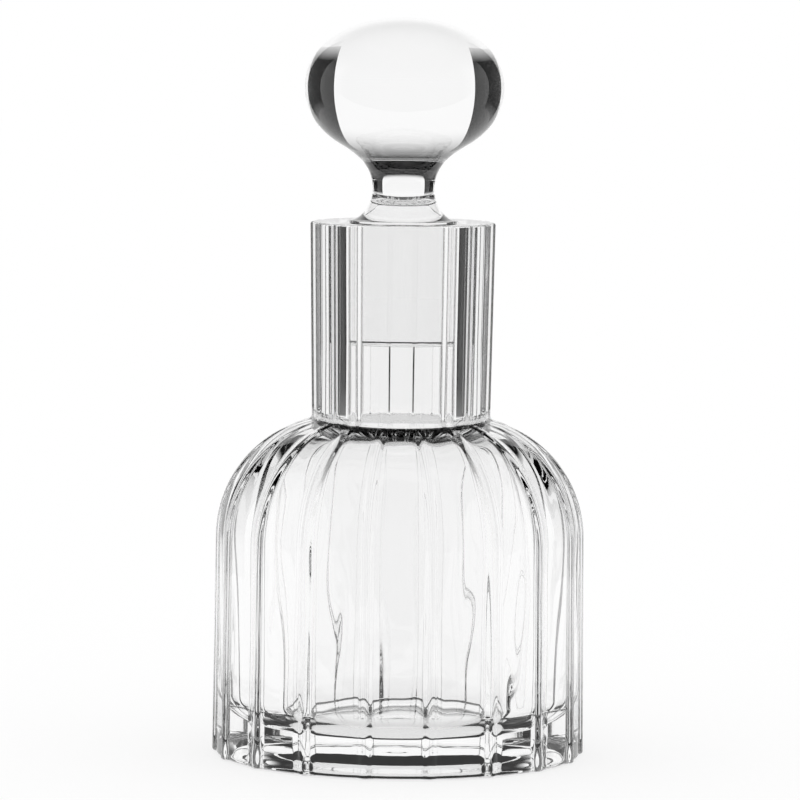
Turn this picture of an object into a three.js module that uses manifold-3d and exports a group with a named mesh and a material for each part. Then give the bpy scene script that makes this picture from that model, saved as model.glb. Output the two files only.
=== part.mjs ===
// Stoppered decanter in clear glass: a round body with a domed shoulder and a straight neck,
// fine upright ribs from the foot to the rim, and a solid glass stopper with a ball knob.
// Millimetres, +Z up. The origin is the centre of the foot, on the surface that it stands on,
// and the front, towards -Y, is the middle of a panel between two ribs.
import * as THREE from 'three';
import { mergeVertices } from 'three/addons/utils/BufferGeometryUtils.js';
import Module from 'manifold-3d';

// Body, outside, measured over the ribs
const bodyRadius = 60.5;
const wallDraft = 0.7;
const wallHeight = 70.4;
const shoulderRadius = 39.5;
const footBevelWidth = 0.8;
const footBevelHeight = 1.1;
const puntRadius = 55;
const puntDepth = 6;

// Neck: the bore is ground to take the stopper's plug, and both taper alike
const boreRadius = 17.3;
const boreTaper = 0.4;
const neckWall = 11.65;
const neckDraft = 1.0;
const neckFillet = 1.6;
const neckHeight = 64;
const rimBevel = 0.7;
const mouthBevel = 0.5;

// Hollow: thick walls, a floor that rises to its middle and a small lip where the bore opens into it
const wallThickness = 19;
const heelThickness = 21.5;
const floorThickness = 9.7;
const floorRise = 1.5;
const floorRoundWidth = 10;
const floorRoundHeight = 9;
const crownThickness = 7.9;
const boreLip = 3;

// Ribs: slim rounded ridges, narrower on the neck than on the body
const ribCount = 18;
const bodyRibWidth = 5;
const bodyRibHeight = 1.25;
const neckRibWidth = 3.6;
const neckRibHeight = 0.4;

// Stopper: ground plug, flare, stem and ball knob
const plugClearance = 0.3;
const plugLength = 39;
const plugStand = 0.5;
const plugChamfer = 0.6;
const stemRadius = 10;
const stemRise = 10;
const knobRadius = 32.2;
const knobCrownHeight = 22.6;
const knobBellyHeight = 23.3;
const knobRise = 33;
const knobRoundness = 2.1;
const knobUndercut = 18.4;

// Fullness of the curves: how far a control point stands along its stretch
const domeRise = 0.5;
const domeReach = 0.9;
const puntCrownReach = 0.75;
const puntEdgeReach = 0.8;
const puntEdgeRise = 0.125;
const stemEase = 0.5;

// Fineness of the faceted surfaces
const ribSteps = 4;
const panelSteps = 3;
const curveSteps = 4;
const knobSteps = 12;
const plainSides = 54;

// How far a cutting shape runs past the surface that it cuts, the angle over which a tangent is
// taken, and the distance under which two corners are one
const cutMargin = 2;
const tangentStep = 0.01;
const weldDistance = 1e-4;

// Heights and radii that follow from the sizes above
const wallTopRadius = bodyRadius - wallDraft;
const shoulderCentre = wallTopRadius - shoulderRadius;
const neckRadius = boreRadius + neckWall;
const rimRadius = neckRadius + neckDraft;
const neckBase = shoulderHeightAt(neckRadius);
const rimHeight = neckBase + neckHeight;
const crownHeight = neckBase - crownThickness;
const plugBottom = rimHeight - plugLength;
const plugTop = rimHeight + plugStand;
const stemHeight = plugTop + stemRise;
const knobHeight = stemHeight + knobRise;

// The shoulder is one arc that leaves the wall upright and runs in to the neck.
function shoulderAngleAt(radius) {
  return Math.acos((radius - shoulderCentre) / shoulderRadius);
}

function shoulderHeightAt(radius) {
  return wallHeight + shoulderRadius * Math.sin(shoulderAngleAt(radius));
}

// The bore widens evenly from the bottom of the plug to the rim, and is straight below it.
function boreRadiusAt(height) {
  const rise = Math.max(0, height - (rimHeight - plugLength));
  return boreRadius + boreTaper * rise / plugLength;
}

function turned(points) {
  return new THREE.LatheGeometry(points, plainSides).rotateX(Math.PI / 2);
}

// Share of a rib's body size at a radius between the neck's and the body's.
function bodyShareAt(radius) {
  return THREE.MathUtils.clamp((radius - neckRadius) / (bodyRadius - neckRadius), 0, 1);
}

// Where a column of the ribbed surface stands: its angle from the front, and how much of the rib's
// height it has. Each rib has its own columns, so they follow its edges as it narrows up the neck.
function ribColumn(column, radius) {
  const columnsPerRib = ribSteps + panelSteps;
  const pitch = 2 * Math.PI / ribCount;
  const ribLine = pitch * (Math.floor(column / columnsPerRib) + 0.5);
  const step = column % columnsPerRib;
  const ribWidth = THREE.MathUtils.lerp(neckRibWidth, bodyRibWidth, bodyShareAt(radius));
  const halfAngle = ribWidth / 2 / radius;
  if (step <= ribSteps) {
    const across = 2 * step / ribSteps - 1;
    return { angle: ribLine + halfAngle * across, rise: 0.5 + 0.5 * Math.cos(Math.PI * across) };
  }
  const panelAngle = pitch - 2 * halfAngle;
  return { angle: ribLine + halfAngle + panelAngle * (step - ribSteps) / panelSteps, rise: 0 };
}

// Sweeps an outline round the axis with its ribs raised: the outline runs over the ribs' crests.
function ribbed(points) {
  const columns = ribCount * (ribSteps + panelSteps);
  const geometry = new THREE.LatheGeometry(points, columns);
  const position = geometry.attributes.position;
  for (let i = 0; i < position.count; i += 1) {
    const point = points[i % points.length];
    if (point.x > 0) {
      const column = Math.floor(i / points.length) % columns;
      const { angle, rise } = ribColumn(column, point.x);
      const ribHeight = THREE.MathUtils.lerp(neckRibHeight, bodyRibHeight, bodyShareAt(point.x));
      const radius = point.x - ribHeight * (1 - rise);
      position.setXYZ(i, radius * Math.sin(angle), point.y, radius * Math.cos(angle));
    }
  }
  return geometry.rotateX(Math.PI / 2);
}

// Wall, shoulder and neck in one line, running past the foot and the rim where it is cut off.
function outsideOutline() {
  const outline = new THREE.Path();
  outline.moveTo(0, -cutMargin);
  outline.lineTo(bodyRadius, -cutMargin);
  outline.lineTo(wallTopRadius, wallHeight);
  const filletRadius = neckRadius + neckFillet;
  outline.absarc(shoulderCentre, wallHeight, shoulderRadius, 0, shoulderAngleAt(filletRadius), false);
  outline.quadraticCurveTo(neckRadius, neckBase, neckRadius, neckBase + neckFillet);
  outline.lineTo(rimRadius, rimHeight);
  outline.lineTo(rimRadius, rimHeight + cutMargin);
  outline.lineTo(0, rimHeight + cutMargin);
  return outline.getPoints(curveSteps);
}

// What grinding leaves: a hollowed foot with a bevelled edge, and a flat rim with a bevelled edge.
function groundOutline() {
  const outside = bodyRadius + cutMargin;
  const footRadius = bodyRadius - footBevelWidth;
  const footSlope = footBevelHeight / footBevelWidth;
  const rimEdge = rimRadius - rimBevel;
  const outline = new THREE.Path();
  outline.moveTo(0, puntDepth);
  outline.bezierCurveTo(
    puntRadius * puntCrownReach, puntDepth,
    puntRadius * puntEdgeReach, puntDepth * puntEdgeRise,
    puntRadius, 0,
  );
  outline.lineTo(footRadius, 0);
  outline.lineTo(outside, (outside - footRadius) * footSlope);
  outline.lineTo(outside, rimHeight - (outside - rimEdge));
  outline.lineTo(rimEdge, rimHeight);
  outline.lineTo(0, rimHeight);
  return outline.getPoints(curveSteps);
}

// The inside, from the middle of the floor up through the bore and out at the mouth.
function hollowOutline() {
  const heelRadius = bodyRadius - heelThickness;
  const heelHeight = floorThickness + floorRoundHeight;
  const hollowRadius = wallTopRadius - wallThickness;
  const floorRadius = heelRadius - floorRoundWidth;
  const crownRadius = boreRadius + boreLip;
  const mouthRadius = boreRadiusAt(rimHeight);
  const outline = new THREE.Path();
  outline.moveTo(0, floorThickness + floorRise);
  outline.lineTo(floorRadius, floorThickness);
  outline.absellipse(floorRadius, heelHeight, floorRoundWidth, floorRoundHeight, -Math.PI / 2, 0, false);
  outline.lineTo(hollowRadius, wallHeight);
  outline.bezierCurveTo(
    hollowRadius, THREE.MathUtils.lerp(wallHeight, crownHeight, domeRise),
    THREE.MathUtils.lerp(crownRadius, hollowRadius, domeReach), crownHeight,
    crownRadius, crownHeight,
  );
  outline.quadraticCurveTo(boreRadius, crownHeight, boreRadius, crownHeight + boreLip);
  outline.lineTo(boreRadius, plugBottom);
  outline.lineTo(mouthRadius, rimHeight - mouthBevel);
  outline.lineTo(mouthRadius + mouthBevel + cutMargin, rimHeight + cutMargin);
  outline.lineTo(0, rimHeight + cutMargin);
  return outline.getPoints(curveSteps);
}

// A point of the knob's rounded outline, at an angle above or below its widest line.
function knobPoint(angle) {
  const power = 2 / knobRoundness;
  const rise = Math.sign(angle) * Math.abs(Math.sin(angle)) ** power;
  const radius = knobRadius * Math.cos(angle) ** power;
  return new THREE.Vector2(radius, knobHeight + rise * (angle > 0 ? knobCrownHeight : knobBellyHeight));
}

// The stopper, from the middle of the plug's flat end up to the top of the knob.
function stopperOutline() {
  const endRadius = boreRadiusAt(plugBottom) - plugClearance;
  const topRadius = boreRadiusAt(rimHeight) - plugClearance;
  const stemTopAngle = -Math.asin((knobUndercut / knobBellyHeight) ** (knobRoundness / 2));
  const knobStart = knobPoint(stemTopAngle);
  const knobTangent = knobPoint(stemTopAngle + tangentStep).sub(knobStart).normalize();
  const handle = (knobStart.y - stemHeight) * stemEase;
  const outline = new THREE.Path();
  outline.moveTo(0, plugBottom);
  outline.lineTo(endRadius - plugChamfer, plugBottom);
  outline.lineTo(endRadius, plugBottom + plugChamfer);
  outline.lineTo(topRadius, rimHeight);
  outline.lineTo(topRadius, plugTop);
  outline.bezierCurveTo(
    THREE.MathUtils.lerp(topRadius, stemRadius, stemEase), plugTop,
    stemRadius, stemHeight - stemRise * stemEase,
    stemRadius, stemHeight,
  );
  outline.bezierCurveTo(
    stemRadius, stemHeight + handle,
    knobStart.x - knobTangent.x * handle, knobStart.y - knobTangent.y * handle,
    knobStart.x, knobStart.y,
  );
  const points = outline.getPoints(curveSteps);
  for (let i = 1; i < knobSteps; i += 1) {
    points.push(knobPoint(THREE.MathUtils.lerp(stemTopAngle, Math.PI / 2, i / knobSteps)));
  }
  points.push(new THREE.Vector2(0, knobHeight + knobCrownHeight));
  return points;
}

const wasm = await Module();
wasm.setup();

// Closed geometry to a solid that can be cut, and back.
function toSolid(geometry) {
  const bare = geometry.clone();
  bare.deleteAttribute('normal');
  bare.deleteAttribute('uv');
  const merged = mergeVertices(bare, weldDistance);
  const triangles = [];
  const index = merged.index.array;
  for (let i = 0; i < index.length; i += 3) {
    const [a, b, c] = [index[i], index[i + 1], index[i + 2]];
    if (a !== b && b !== c && c !== a) {
      triangles.push(a, b, c);
    }
  }
  const vertProperties = new Float32Array(merged.attributes.position.array);
  const triVerts = new Uint32Array(triangles);
  return new wasm.Manifold(new wasm.Mesh({ numProp: 3, vertProperties, triVerts }));
}

function toGeometry(solid) {
  const { vertProperties, triVerts } = solid.getMesh();
  const geometry = new THREE.BufferGeometry();
  geometry.setAttribute('position', new THREE.BufferAttribute(vertProperties, 3));
  geometry.setIndex(new THREE.BufferAttribute(triVerts, 1));
  geometry.computeVertexNormals();
  return geometry;
}

function clearGlass() {
  return new THREE.MeshStandardMaterial({
    color: 0xf3f6f6,
    roughness: 0.02,
    metalness: 0,
    transparent: true,
    opacity: 0.35,
  });
}

function piece(name, solid) {
  const mesh = new THREE.Mesh(toGeometry(solid), clearGlass());
  mesh.name = name;
  return mesh;
}

// The ribbed blank is ground at the foot and the rim, then hollowed.
function carafeBody() {
  const blank = toSolid(ribbed(outsideOutline()));
  const ground = blank.intersect(toSolid(turned(groundOutline())));
  return ground.subtract(toSolid(turned(hollowOutline())));
}

const decanter = new THREE.Group();
decanter.add(piece('carafe_body', carafeBody()));
decanter.add(piece('stopper', toSolid(turned(stopperOutline()))));

export default decanter;
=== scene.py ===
# %% [markdown]
# Ribbed decanter in clear glass
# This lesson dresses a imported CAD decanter: a thick glass body with upright ribs, and a solid
# stopper that lifts out of its neck. Both CAD solids are faceted, and facets show at once in glass,
# so each piece is turned again as a fine smooth mesh of the same size, in metres, in the same place.

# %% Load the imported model
import math

import bmesh
import bpy
from mathutils import Matrix, Vector, noise


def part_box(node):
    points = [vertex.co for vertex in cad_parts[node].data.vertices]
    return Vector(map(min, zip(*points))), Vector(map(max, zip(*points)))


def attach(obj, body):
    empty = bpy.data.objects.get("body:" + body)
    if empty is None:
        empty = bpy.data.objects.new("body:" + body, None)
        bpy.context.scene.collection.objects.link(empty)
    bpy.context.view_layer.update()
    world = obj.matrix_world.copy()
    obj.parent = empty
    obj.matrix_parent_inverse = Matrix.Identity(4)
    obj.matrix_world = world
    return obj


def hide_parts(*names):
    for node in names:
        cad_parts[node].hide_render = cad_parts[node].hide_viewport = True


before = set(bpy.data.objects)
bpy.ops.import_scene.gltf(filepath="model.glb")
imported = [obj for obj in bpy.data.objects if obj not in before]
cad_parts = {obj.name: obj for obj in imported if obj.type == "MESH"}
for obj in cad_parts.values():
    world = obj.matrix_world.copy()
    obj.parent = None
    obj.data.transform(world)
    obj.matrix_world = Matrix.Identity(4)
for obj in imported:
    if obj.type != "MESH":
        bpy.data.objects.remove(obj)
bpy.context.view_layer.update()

# %% [markdown]
# The camera comes first, because every later choice is judged through it. The picture was taken with
# a long lens from 1.7 m away, a little above the rim and tipped down about five degrees. The decanter
# leans a fraction of a degree in the picture, so the camera is rolled by that much and the glass
# stands straight.

# %% Camera
MM = 0.001
IMAGE_PIXELS = 800

camera_distance = 1703.4 * MM
camera_height = 261.4 * MM
camera_tilt = math.radians(4.908)
camera_roll = math.radians(0.62)
focal_pixels = 5270
centre_shift_pixels = 1.2

camera_data = bpy.data.cameras.new("camera")
camera_data.sensor_width = 36
camera_data.lens = focal_pixels * camera_data.sensor_width / IMAGE_PIXELS
camera_data.shift_x = -centre_shift_pixels / IMAGE_PIXELS
camera = bpy.data.objects.new("camera", camera_data)
camera.matrix_world = (
    Matrix.Translation((0, -camera_distance, camera_height))
    @ Matrix.Rotation(math.pi / 2 - camera_tilt, 4, "X")
    @ Matrix.Rotation(camera_roll, 4, "Z")
)
bpy.context.scene.collection.objects.link(camera)
bpy.context.scene.camera = camera
print("lens", round(camera_data.lens, 1), "mm")

# %% [markdown]
# Both pieces are turned shapes, so each starts as half an outline: pairs of radius and height, from
# the axis round to the axis again. Three helpers draw an outline's stretches. A straight stretch
# has extra points close to both ends: glass bends light by its shading normals, and those rows keep
# the softened normals of a corner from spreading over the flat beside it.

# %% Stretches of an outline
corner_row = 0.12 * MM


def mixed(first, second, share):
    return first + (second - first) * share


def straight(start, end, steps=1):
    """Points from start to end, without start, with rows close to both ends."""
    near = corner_row / math.dist(start, end)
    shares = [near, 3 * near] + [i / steps for i in range(1, steps)] + [1 - 3 * near, 1 - near, 1]
    return [tuple(a + (b - a) * s for a, b in zip(start, end)) for s in shares]


def round_stretch(centre, radii, start_angle, end_angle, steps):
    """Points on part of an ellipse, without its first point. Angles in degrees from outwards."""
    points = []
    for i in range(1, steps + 1):
        angle = math.radians(mixed(start_angle, end_angle, i / steps))
        points.append((centre[0] + radii[0] * math.cos(angle), centre[1] + radii[1] * math.sin(angle)))
    return points


def swept_stretch(start, first_handle, second_handle, end, steps):
    """Points on a Bezier curve, without its first point."""
    points = []
    for i in range(1, steps + 1):
        t = i / steps
        weights = ((1 - t) ** 3, 3 * t * (1 - t) ** 2, 3 * t * t * (1 - t), t ** 3)
        corners = (start, first_handle, second_handle, end)
        points.append(tuple(sum(w * c[k] for w, c in zip(weights, corners)) for k in (0, 1)))
    return points


print("outline helpers ready")

# %% [markdown]
# An outline becomes a solid with bmesh's spin, which sweeps its edges round the axis. A full spin
# merges its last step with its first. The points on the axis are swept too, so doubles are merged,
# and then the normals are turned outwards. The rib layer marks which rows of the outline carry ribs;
# spin copies it to every vertex.

# %% Turning an outline


def turned(outline, steps):
    """A bmesh of an outline swept round the axis. Outline rows are (radius, height, rib share)."""
    mesh = bmesh.new()
    rib_layer = mesh.verts.layers.float.new("rib")
    row = []
    for radius, height, rib_share in outline:
        vertex = mesh.verts.new((0, -radius, height))
        vertex[rib_layer] = rib_share
        row.append(vertex)
    edges = [mesh.edges.new(pair) for pair in zip(row, row[1:])]
    bmesh.ops.spin(
        mesh, geom=row + edges, cent=(0, 0, 0), axis=(0, 0, 1), angle=2 * math.pi,
        steps=steps, use_merge=True,
    )
    bmesh.ops.remove_doubles(mesh, verts=mesh.verts, dist=0.002 * MM)
    bmesh.ops.recalc_face_normals(mesh, faces=mesh.faces)
    return mesh


def plain_rows(points):
    return [(radius, height, 0) for radius, height in points]


def ribbed_rows(points):
    return [(radius, height, 1) for radius, height in points]


def finished(name, mesh):
    """The bmesh as a smooth shaded object at the origin."""
    data = bpy.data.meshes.new(name)
    for face in mesh.faces:
        face.smooth = True
    mesh.to_mesh(data)
    mesh.free()
    piece = bpy.data.objects.new(name, data)
    bpy.context.scene.collection.objects.link(piece)
    triangles = sum(len(p.vertices) - 2 for p in data.polygons)
    print(name, len(data.vertices), "vertices", triangles, "triangles")
    return piece


# %% [markdown]
# The body's outside: a straight wall with a little draft, a shoulder that is one arc, a tight fillet
# and a straight neck that opens slightly to the rim. The foot is ground hollow, so it stands on a
# ring. All these sizes run over the ribs' crests.

# %% Outside of the body
body_radius = 60.43 * MM
wall_top_radius = 59.8 * MM
wall_height = 70.4 * MM
shoulder_radius = 39.5 * MM
shoulder_centre = wall_top_radius - shoulder_radius
punt_radius = 55 * MM
punt_depth = 6 * MM
punt_crown_reach = 0.75
punt_edge_reach = 0.8
punt_edge_rise = 0.125
foot_bevel = 0.8 * MM
neck_radius = 28.95 * MM
neck_fillet = 1.6 * MM
rim_radius = 29.95 * MM
rim_bevel = 0.7 * MM
rim_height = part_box("carafe_body")[1].z
rib_band = 2.4 * MM
rib_edge = 0.8 * MM
body_rib_height = 1.25 * MM
neck_rib_height = 0.6 * MM


def shoulder_angle(radius):
    """Degrees up the shoulder's arc to where it has this radius."""
    return math.degrees(math.acos((radius - shoulder_centre) / shoulder_radius))


def outside_outline():
    foot_edge = body_radius - foot_bevel
    rim_edge = rim_radius - rim_bevel
    neck_base = wall_height + shoulder_radius * math.sin(math.radians(shoulder_angle(neck_radius)))
    rows = plain_rows([(0, punt_depth)])
    rows += plain_rows(swept_stretch(
        (0, punt_depth),
        (punt_radius * punt_crown_reach, punt_depth),
        (punt_radius * punt_edge_reach, punt_depth * punt_edge_rise),
        (punt_radius, 0), 24))
    rows += plain_rows(straight((punt_radius, 0), (foot_edge - rib_band, 0)))
    rows += ribbed_rows(straight((foot_edge - rib_edge, 0), (foot_edge, 0)))
    rows += ribbed_rows(round_stretch((foot_edge, foot_bevel), (foot_bevel, foot_bevel), -90, 0, 5))
    rows += ribbed_rows(straight((body_radius, foot_bevel), (wall_top_radius, wall_height), 6))
    rows += ribbed_rows(round_stretch(
        (shoulder_centre, wall_height), (shoulder_radius, shoulder_radius),
        0, shoulder_angle(neck_radius + neck_fillet), 28))
    fillet_start = rows[-1][:2]
    fillet_end = (neck_radius, neck_base + neck_fillet)
    rows += ribbed_rows(swept_stretch(
        fillet_start,
        (mixed(fillet_start[0], neck_radius, 2 / 3), mixed(fillet_start[1], neck_base, 2 / 3)),
        (neck_radius, mixed(fillet_end[1], neck_base, 2 / 3)),
        fillet_end, 8))
    rows += ribbed_rows(straight(fillet_end, (rim_radius, rim_height - rim_bevel), 4))
    rows += ribbed_rows(round_stretch((rim_edge, rim_height - rim_bevel), (rim_bevel, rim_bevel), 0, 90, 5))
    rows += ribbed_rows(straight((rim_edge, rim_height), (rim_edge - rib_edge, rim_height)))
    return rows


print("rim height", round(rim_height / MM, 2), "mm")

# %% [markdown]
# The inside can't be reached with calipers, but it shows through the glass. The walls are thick, the
# hollow is nearly straight, and its floor is rounded at the edge and rises a little to the middle.
# Where the bore opens into the hollow there is a small rounded lip. The bore's upper part is ground to
# a slight taper. The hollow's rows are marked with a rib share of -1, because they are blown, not
# ground, and are made a little uneven later.

# %% Inside of the body
bore_radius = 17.3 * MM
mouth_radius = 17.7 * MM
mouth_bevel = 0.6 * MM
plug_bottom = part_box("stopper")[0].z
crown_height = 101.04 * MM
bore_lip = 3 * MM
crown_radius = bore_radius + bore_lip
hollow_radius = 40.8 * MM
heel_radius = 39 * MM
floor_height = 9.7 * MM
floor_rise = 1.5 * MM
floor_round_width = 10 * MM
floor_round_height = 9 * MM
dome_rise = 0.5
dome_reach = 0.9


def blown_rows(points):
    return [(radius, height, -1) for radius, height in points]


def inside_outline():
    heel_height = floor_height + floor_round_height
    floor_radius = heel_radius - floor_round_width
    lip_ease = bore_lip * 0.45
    points = [(mouth_radius + mouth_bevel + rib_band, rim_height)]
    points += straight(points[-1], (mouth_radius + mouth_bevel, rim_height))
    points += round_stretch(
        (mouth_radius + mouth_bevel, rim_height - mouth_bevel), (mouth_bevel, mouth_bevel), 90, 180, 5)
    points += straight(points[-1], (bore_radius, plug_bottom), 3)
    points += straight(points[-1], (bore_radius, crown_height + bore_lip), 2)
    points += swept_stretch(
        points[-1], (bore_radius, crown_height + lip_ease), (bore_radius + lip_ease, crown_height),
        (crown_radius, crown_height), 10)
    blown = swept_stretch(
        points[-1], (mixed(crown_radius, hollow_radius, dome_reach), crown_height),
        (hollow_radius, mixed(wall_height, crown_height, dome_rise)), (hollow_radius, wall_height), 28)
    blown += straight(blown[-1], (heel_radius, heel_height), 20)
    blown += round_stretch(
        (floor_radius, heel_height), (floor_round_width, floor_round_height), 0, -90, 16)
    return plain_rows(points) + blown_rows(blown) + plain_rows(
        straight(blown[-1], (0, floor_height + floor_rise), 3))


print("bore", round(2 * bore_radius / MM, 1), "mm")

# %% [markdown]
# Ribs: eighteen slim beads from foot to rim, with a panel's middle at the front. They could be cut as
# separate shapes and joined, but a join would leave seams that glass shows up. Instead the vertices of
# the turned mesh are moved: columns gather inside each bead, and the columns between sink to the panel.

# %% Raising the ribs
rib_count = 18
rib_columns = 16
panel_columns = 8
body_rib_half_width = 2.5 * MM
neck_rib_half_width = 1.8 * MM
rib_fullness = 1.4


def rib_place(turn, radius):
    """Where a column goes: its new angle, and how far it sinks below the ribs' crests."""
    pitch = 2 * math.pi / rib_count
    body_share = min(1, max(0, (radius - neck_radius) / (body_radius - neck_radius)))
    half_angle = mixed(neck_rib_half_width, body_rib_half_width, body_share) / radius
    rib_height = mixed(neck_rib_height, body_rib_height, body_share)
    rib_line = pitch * (math.floor(turn / pitch) + 0.5)
    across = 2 * (turn - rib_line) / pitch
    rib_share = rib_columns / (rib_columns + panel_columns)
    side = math.copysign(1, across)
    if abs(across) < rib_share:
        place = across / rib_share
        return rib_line + half_angle * place, rib_height * (1 - (1 - place * place) ** rib_fullness)
    place = (abs(across) - rib_share) / (1 - rib_share)
    return rib_line + side * mixed(half_angle, pitch / 2, place), rib_height


def raise_ribs(mesh):
    rib_layer = mesh.verts.layers.float["rib"]
    for vertex in mesh.verts:
        if vertex[rib_layer] > 0:
            x, y, z = vertex.co
            radius = math.hypot(x, y)
            turn = math.atan2(x, -y) % (2 * math.pi)
            angle, sink = rib_place(turn, radius)
            vertex.co.x = (radius - sink) * math.sin(angle)
            vertex.co.y = -(radius - sink) * math.cos(angle)


body_mesh = turned(outside_outline() + inside_outline(), rib_count * (rib_columns + panel_columns))
raise_ribs(body_mesh)
print("ribs", rib_count)

# %% [markdown]
# A mould shapes only the outside. The inside is blown, so the wall's thickness wanders by a few tenths
# of a millimetre, drawn out upwards, and that is what makes the lines seen through thick glass bend.
# Smooth noise moves the hollow's vertices, and fades out at the lip and on the floor.

# %% Uneven inside
wander = 0.55 * MM
wander_width = 9 * MM
wander_height = 38 * MM
wander_fade = 10 * MM


def wander_inside(mesh):
    rib_layer = mesh.verts.layers.float["rib"]
    for vertex in mesh.verts:
        if vertex[rib_layer] < 0:
            x, y, z = vertex.co
            radius = math.hypot(x, y)
            from_lip = min(1, max(0, (radius - crown_radius) / wander_fade))
            from_floor = min(1, max(0, (z - floor_height) / wander_fade))
            place = Vector((x / wander_width, y / wander_width, z / wander_height))
            shift = wander * noise.noise(place) * from_lip * from_floor
            vertex.co.x += shift * x / radius
            vertex.co.y += shift * y / radius


wander_inside(body_mesh)
decanter_body = finished("decanter_body", body_mesh)

# %% [markdown]
# The stopper is one lump of glass: a tapered plug, a flare, a slim stem and a knob that is a little
# wider than it is tall. The knob's outline is a superellipse, slightly fuller than an ellipse.

# %% Stopper
plug_gap = 0.3 * MM
plug_chamfer = 0.6 * MM
plug_stand = 0.5 * MM
stem_radius = 10 * MM
stem_rise = 10 * MM
knob_radius = 32.2 * MM
knob_crown_height = 22.6 * MM
knob_belly_height = 23.3 * MM
knob_roundness = 2.1
knob_undercut = 18.4 * MM
stopper_columns = 160
knob_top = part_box("stopper")[1].z
knob_height = knob_top - knob_crown_height


def knob_point(angle):
    """A point of the knob's outline, at an angle above or below its widest line."""
    power = 2 / knob_roundness
    rise = math.copysign(abs(math.sin(angle)) ** power, angle)
    return (
        knob_radius * abs(math.cos(angle)) ** power,
        knob_height + rise * (knob_crown_height if angle > 0 else knob_belly_height),
    )


def stopper_outline():
    end_radius = bore_radius - plug_gap
    top_radius = mouth_radius - plug_gap
    plug_top = rim_height + plug_stand
    stem_height = plug_top + stem_rise
    start_angle = -math.asin((knob_undercut / knob_belly_height) ** (knob_roundness / 2))
    knob_start = knob_point(start_angle)
    knob_next = knob_point(start_angle + 0.01)
    reach = (knob_start[1] - stem_height) / 2
    length = math.dist(knob_start, knob_next)
    knob_handle = tuple(a - (b - a) / length * reach for a, b in zip(knob_start, knob_next))
    points = [(0, plug_bottom)]
    points += straight(points[-1], (end_radius - plug_chamfer, plug_bottom), 2)
    points += round_stretch(
        (end_radius - plug_chamfer, plug_bottom + plug_chamfer), (plug_chamfer, plug_chamfer), -90, 0, 5)
    points += straight(points[-1], (top_radius, plug_top), 3)
    points += swept_stretch(
        points[-1], (mixed(top_radius, stem_radius, 0.5), plug_top),
        (stem_radius, stem_height - stem_rise / 2), (stem_radius, stem_height), 16)
    points += swept_stretch(points[-1], (stem_radius, stem_height + reach), knob_handle, knob_start, 16)
    knob_steps = 48
    points += [knob_point(mixed(start_angle, math.pi / 2, i / knob_steps)) for i in range(1, knob_steps)]
    points.append((0, knob_top))
    return plain_rows(points)


stopper_piece = finished("ball_stopper", turned(stopper_outline(), stopper_columns))

# %% [markdown]
# Clear glass is mostly what it bends and reflects, so its own finish is quiet: fire polish leaves the
# surface faintly rippled, drawn out up and down the piece, and the melt is never quite even. Both
# pieces share that effect, so it is a node group with its own inputs. It puts out a tint, a polish
# and a ripple height, all of which change over the surface, and each material keeps its own shader.

# %% Fire polish, a shared effect


def new_node(tree, kind, **values):
    """A node with the named inputs set."""
    node = tree.nodes.new(kind)
    for name, value in values.items():
        node.inputs[name.replace("_", " ")].default_value = value
    return node


def fire_polish_group():
    group = bpy.data.node_groups.new("fire_polish", "ShaderNodeTree")
    for name, kind in (
        ("Vector", "NodeSocketVector"),
        ("Streaks per metre", "NodeSocketFloat"),
        ("Clear melt", "NodeSocketColor"),
        ("Dense melt", "NodeSocketColor"),
        ("Least roughness", "NodeSocketFloat"),
        ("Most roughness", "NodeSocketFloat"),
    ):
        group.interface.new_socket(name, in_out="INPUT", socket_type=kind)
    for name, kind in (
        ("Tint", "NodeSocketColor"),
        ("Polish", "NodeSocketFloat"),
        ("Ripple", "NodeSocketFloat"),
    ):
        group.interface.new_socket(name, in_out="OUTPUT", socket_type=kind)
    inputs = group.nodes.new("NodeGroupInput")
    outputs = group.nodes.new("NodeGroupOutput")
    link = group.links.new

    drawn = group.nodes.new("ShaderNodeVectorMath")
    drawn.operation = "MULTIPLY"
    drawn.inputs[1].default_value = (1, 1, 0.06)
    link(inputs.outputs["Vector"], drawn.inputs[0])
    streaks = new_node(group, "ShaderNodeTexNoise", Detail=1.5, Roughness=0.4)
    link(drawn.outputs[0], streaks.inputs["Vector"])
    link(inputs.outputs["Streaks per metre"], streaks.inputs["Scale"])
    link(streaks.outputs["Fac"], outputs.inputs["Ripple"])

    melt = new_node(group, "ShaderNodeTexNoise", Scale=25, Detail=2)
    link(inputs.outputs["Vector"], melt.inputs["Vector"])
    tint = group.nodes.new("ShaderNodeMix")
    tint.data_type = "RGBA"
    link(melt.outputs["Fac"], tint.inputs["Factor"])
    link(inputs.outputs["Clear melt"], tint.inputs["A"])
    link(inputs.outputs["Dense melt"], tint.inputs["B"])
    link(tint.outputs["Result"], outputs.inputs["Tint"])

    polish = group.nodes.new("ShaderNodeMapRange")
    link(melt.outputs["Fac"], polish.inputs["Value"])
    link(inputs.outputs["Least roughness"], polish.inputs["To Min"])
    link(inputs.outputs["Most roughness"], polish.inputs["To Max"])
    link(polish.outputs["Result"], outputs.inputs["Polish"])
    return group


fire_polish = fire_polish_group()
print("group", fire_polish.name, [s.name for s in fire_polish.interface.items_tree])

# %% [markdown]
# Each glass is a Principled shader with full transmission and the refractive index of soda-lime
# glass. The tint is almost white, because the glass is clear and its greys come from what it shows,
# and the ripple is a bump of about a hundredth of a millimetre.

# %% Glass finishes
glass_index = 1.52


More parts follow.
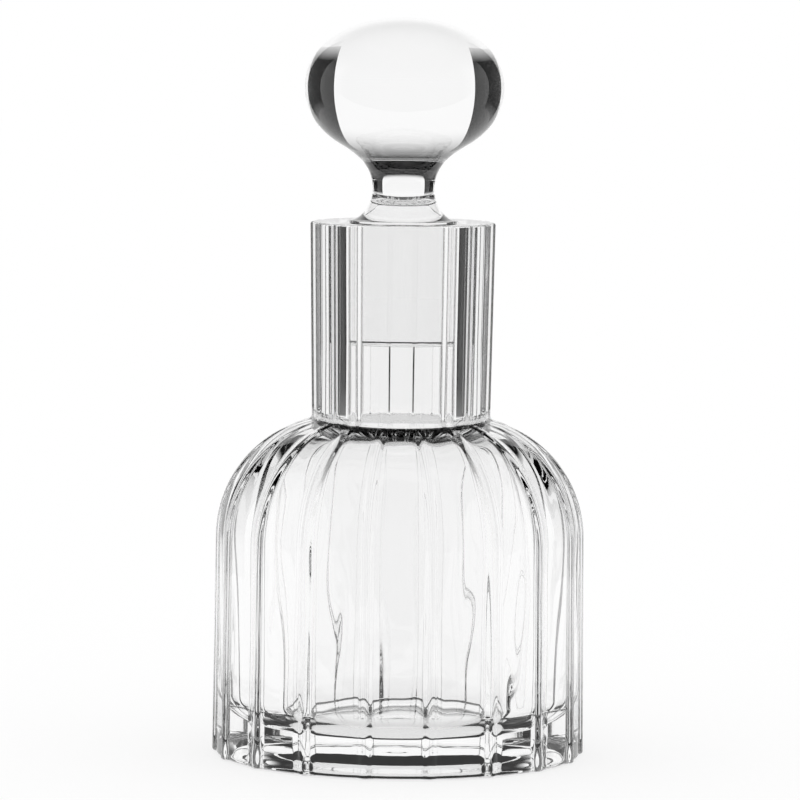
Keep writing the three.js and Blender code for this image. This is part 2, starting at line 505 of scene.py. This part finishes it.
def glass(name, streaks_per_metre, clear_melt, dense_melt, ripple_depth):
    material = bpy.data.materials.new(name)
    material.use_nodes = True
    tree = material.node_tree
    shader = tree.nodes["Principled BSDF"]
    shader.inputs["IOR"].default_value = glass_index
    shader.inputs["Transmission Weight"].default_value = 1
    place = tree.nodes.new("ShaderNodeTexCoord")
    polish = tree.nodes.new("ShaderNodeGroup")
    polish.node_tree = fire_polish
    polish.inputs["Streaks per metre"].default_value = streaks_per_metre
    polish.inputs["Clear melt"].default_value = clear_melt
    polish.inputs["Dense melt"].default_value = dense_melt
    polish.inputs["Least roughness"].default_value = 0
    polish.inputs["Most roughness"].default_value = 0.01
    bump = new_node(tree, "ShaderNodeBump", Strength=1, Distance=ripple_depth)
    link = tree.links.new
    link(place.outputs["Object"], polish.inputs["Vector"])
    link(polish.outputs["Tint"], shader.inputs["Base Color"])
    link(polish.outputs["Polish"], shader.inputs["Roughness"])
    link(polish.outputs["Ripple"], bump.inputs["Height"])
    link(bump.outputs["Normal"], shader.inputs["Normal"])
    return material


body_glass = glass(
    "ribbed_body_glass", 260,
    clear_melt=(0.99, 0.99, 0.99, 1), dense_melt=(0.98, 0.98, 0.98, 1), ripple_depth=0.012 * MM)
stopper_glass = glass(
    "solid_stopper_glass", 200,
    clear_melt=(0.995, 0.995, 0.995, 1), dense_melt=(0.985, 0.985, 0.985, 1), ripple_depth=0.006 * MM)
print("materials", body_glass.name, stopper_glass.name)

# %% [markdown]
# Each fine piece now stands for its CAD node, takes its own glass finish and rides on
# its body, so the stopper lifts out of the neck with the joint.

# %% Pieces on their bodies
for piece, material, slot, node, body in (
    (decanter_body, body_glass, "body_glass", "carafe_body", "carafe"),
    (stopper_piece, stopper_glass, "stopper_glass", "stopper", "stopper"),
):
    piece.data.materials.append(material)
    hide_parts(node)
    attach(piece, body)
    print(piece.name, "stands for", node)

# %% [markdown]
# The floor is a wide white sheet. Its own diffuse white carries the shadow, and a glow that only
# camera, glossy and transmission rays see lifts it to the white of the background.

# %% Floor
floor_half_width = 6
floor_glow = 0.75


def floor_material():
    material = bpy.data.materials.new("white_floor")
    material.use_nodes = True
    tree = material.node_tree
    link = tree.links.new
    shader = tree.nodes["Principled BSDF"]
    white = 1 - floor_glow
    shader.inputs["Base Color"].default_value = (white, white, white, 1)
    shader.inputs["Roughness"].default_value = 1
    shader.inputs["Specular IOR Level"].default_value = 0
    shader.inputs["Emission Color"].default_value = (1, 1, 1, 1)
    path = tree.nodes.new("ShaderNodeLightPath")
    seen = tree.nodes.new("ShaderNodeMath")
    seen.operation = "MAXIMUM"
    link(path.outputs["Is Camera Ray"], seen.inputs[0])
    link(path.outputs["Is Glossy Ray"], seen.inputs[1])
    bent = tree.nodes.new("ShaderNodeMath")
    bent.operation = "MAXIMUM"
    link(seen.outputs[0], bent.inputs[0])
    link(path.outputs["Is Transmission Ray"], bent.inputs[1])
    glow = tree.nodes.new("ShaderNodeMath")
    glow.operation = "MULTIPLY"
    glow.inputs[1].default_value = floor_glow
    link(bent.outputs[0], glow.inputs[0])
    link(glow.outputs[0], shader.inputs["Emission Strength"])
    return material


floor_mesh = bmesh.new()
bmesh.ops.create_grid(floor_mesh, x_segments=1, y_segments=1, size=floor_half_width)
bmesh.ops.translate(floor_mesh, verts=floor_mesh.verts, vec=(0, 0, -0.3 * MM))
floor = finished("floor", floor_mesh)
floor.data.materials.append(floor_material())

# %% [markdown]
# Glass on white needs something dark to show its edges. A photographer stands black cards outside the
# picture, behind the glass and to both sides. Two such cards here give the stripes in the neck and
# the shoulder. Each fades to grey at its foot, painted light that stands for the white table shining
# on it. Nothing of the studio is seen by the camera or lights the floor.

# %% Dark cards
card_distance = 570 * MM
card_start = 31.5
card_end = 68
painted_light_foot_height = 85 * MM
card_height = 650 * MM
card_dark = 0.01
card_foot_painted_light = 0.75


def card_material():
    material = bpy.data.materials.new("dark_card")
    material.use_nodes = True
    tree = material.node_tree
    tree.nodes.clear()
    link = tree.links.new
    place = tree.nodes.new("ShaderNodeTexCoord")
    height = tree.nodes.new("ShaderNodeSeparateXYZ")
    # Painted light: the card's glow runs from dark up high to grey at its foot, for the white table shining
    # on it.
    fade = new_node(
        tree, "ShaderNodeMapRange",
        From_Min=0, From_Max=painted_light_foot_height,
        To_Min=card_foot_painted_light, To_Max=card_dark,
    )
    glow = new_node(tree, "ShaderNodeEmission", Color=(1, 1, 1, 1))
    output = tree.nodes.new("ShaderNodeOutputMaterial")
    link(place.outputs["Object"], height.inputs[0])
    link(height.outputs["Z"], fade.inputs["Value"])
    link(fade.outputs["Result"], glow.inputs["Strength"])
    link(glow.outputs["Emission"], output.inputs["Surface"])
    return material


def studio_piece(name, mesh, material):
    """A stage object that only glass sees."""
    piece = finished(name, mesh)
    piece.data.materials.append(material)
    piece.visible_camera = False
    piece.visible_diffuse = False
    piece.visible_shadow = False
    return piece


def dark_card(name, start_degrees, material):
    mesh = bmesh.new()
    start = math.radians(start_degrees)
    foot = mesh.verts.new((card_distance * math.sin(start), card_distance * math.cos(start), 0))
    top = mesh.verts.new((foot.co.x, foot.co.y, card_height))
    edge = mesh.edges.new((foot, top))
    bmesh.ops.spin(
        mesh, geom=[foot, top, edge], cent=(0, 0, 0), axis=(0, 0, -1),
        angle=math.radians(card_end - card_start), steps=10,
    )
    return studio_piece(name, mesh, material)


card_finish = card_material()
for number, start_degrees in enumerate((card_start, -card_end)):
    dark_card(f"dark_card_{number + 1}", start_degrees, card_finish)

# %% [markdown]
# The white background reaches up only so far, and above it the room is dark. A dome round the stage
# fades from white to dark with height, and glass shows that fade on the shoulder and the knob. In
# front, where the camera stands, the room is dimmer too. The glass mirrors the dome's front half and a
# sheet of painted shade on the table there, the dim front of the room, which turns clear glass a light
# grey.

# %% Dark room
dome_radius = 3
fade_start = 0.38
fade_end = 0.78
front_fade = 0.3
room_dark = 0.03
front_dark = 0.25
painted_shade_start = 250 * MM


def room_material():
    material = bpy.data.materials.new("dark_room")
    material.use_nodes = True
    tree = material.node_tree
    tree.nodes.clear()
    link = tree.links.new
    place = tree.nodes.new("ShaderNodeTexCoord")
    way = tree.nodes.new("ShaderNodeVectorMath")
    way.operation = "NORMALIZE"
    parts = tree.nodes.new("ShaderNodeSeparateXYZ")
    above = new_node(
        tree, "ShaderNodeMapRange", From_Min=fade_start, From_Max=fade_end, To_Min=1, To_Max=room_dark)
    above.interpolation_type = "SMOOTHSTEP"
    before = new_node(
        tree, "ShaderNodeMapRange", From_Min=-front_fade, From_Max=0, To_Min=front_dark, To_Max=1)
    strength = tree.nodes.new("ShaderNodeMath")
    strength.operation = "MULTIPLY"
    glow = new_node(tree, "ShaderNodeEmission", Color=(1, 1, 1, 1))
    output = tree.nodes.new("ShaderNodeOutputMaterial")
    link(place.outputs["Object"], way.inputs[0])
    link(way.outputs[0], parts.inputs[0])
    link(parts.outputs["Z"], above.inputs["Value"])
    link(parts.outputs["Y"], before.inputs["Value"])
    link(above.outputs["Result"], strength.inputs[0])
    link(before.outputs["Result"], strength.inputs[1])
    link(strength.outputs[0], glow.inputs["Strength"])
    link(glow.outputs["Emission"], output.inputs["Surface"])
    return material


room_finish = room_material()
dome_mesh = bmesh.new()
bmesh.ops.create_uvsphere(dome_mesh, u_segments=64, v_segments=32, radius=dome_radius)
bmesh.ops.bisect_plane(
    dome_mesh, geom=dome_mesh.verts[:] + dome_mesh.edges[:] + dome_mesh.faces[:],
    plane_co=(0, 0, 0), plane_no=(0, 0, -1), clear_outer=True)
studio_piece("studio_dome", dome_mesh, room_finish)

# Painted shade: a glowing sheet on the table in front, at the dim level of the room's front, not a dark
# object.
painted_shade_mesh = bmesh.new()
corners = [
    painted_shade_mesh.verts.new((side * dome_radius, -distance, 0.1 * MM))
    for side, distance in ((-1, dome_radius), (1, dome_radius), (1, painted_shade_start), (-1, painted_shade_start))
]
painted_shade_mesh.faces.new(corners)
studio_piece("painted_shade_sheet", painted_shade_mesh, room_finish)

# %% [markdown]
# The light is a plain white tent all round: a world of strength 1, at which white looks white.
# Thick glass needs many bounces before its light paths end, so the limits are raised. Mirror bounces
# inside the glass are held to four: light still trapped after that makes the foot's dark band.

# %% Light
world = bpy.data.worlds.new("white_tent")
world.use_nodes = True
world.node_tree.nodes["Background"].inputs["Color"].default_value = (1, 1, 1, 1)
world.node_tree.nodes["Background"].inputs["Strength"].default_value = 1
bpy.context.scene.world = world

scene = bpy.context.scene
scene.view_settings.view_transform = "Standard"
scene.cycles.max_bounces = 32
scene.cycles.transmission_bounces = 32
scene.cycles.glossy_bounces = 4
print("bounces", scene.cycles.max_bounces)
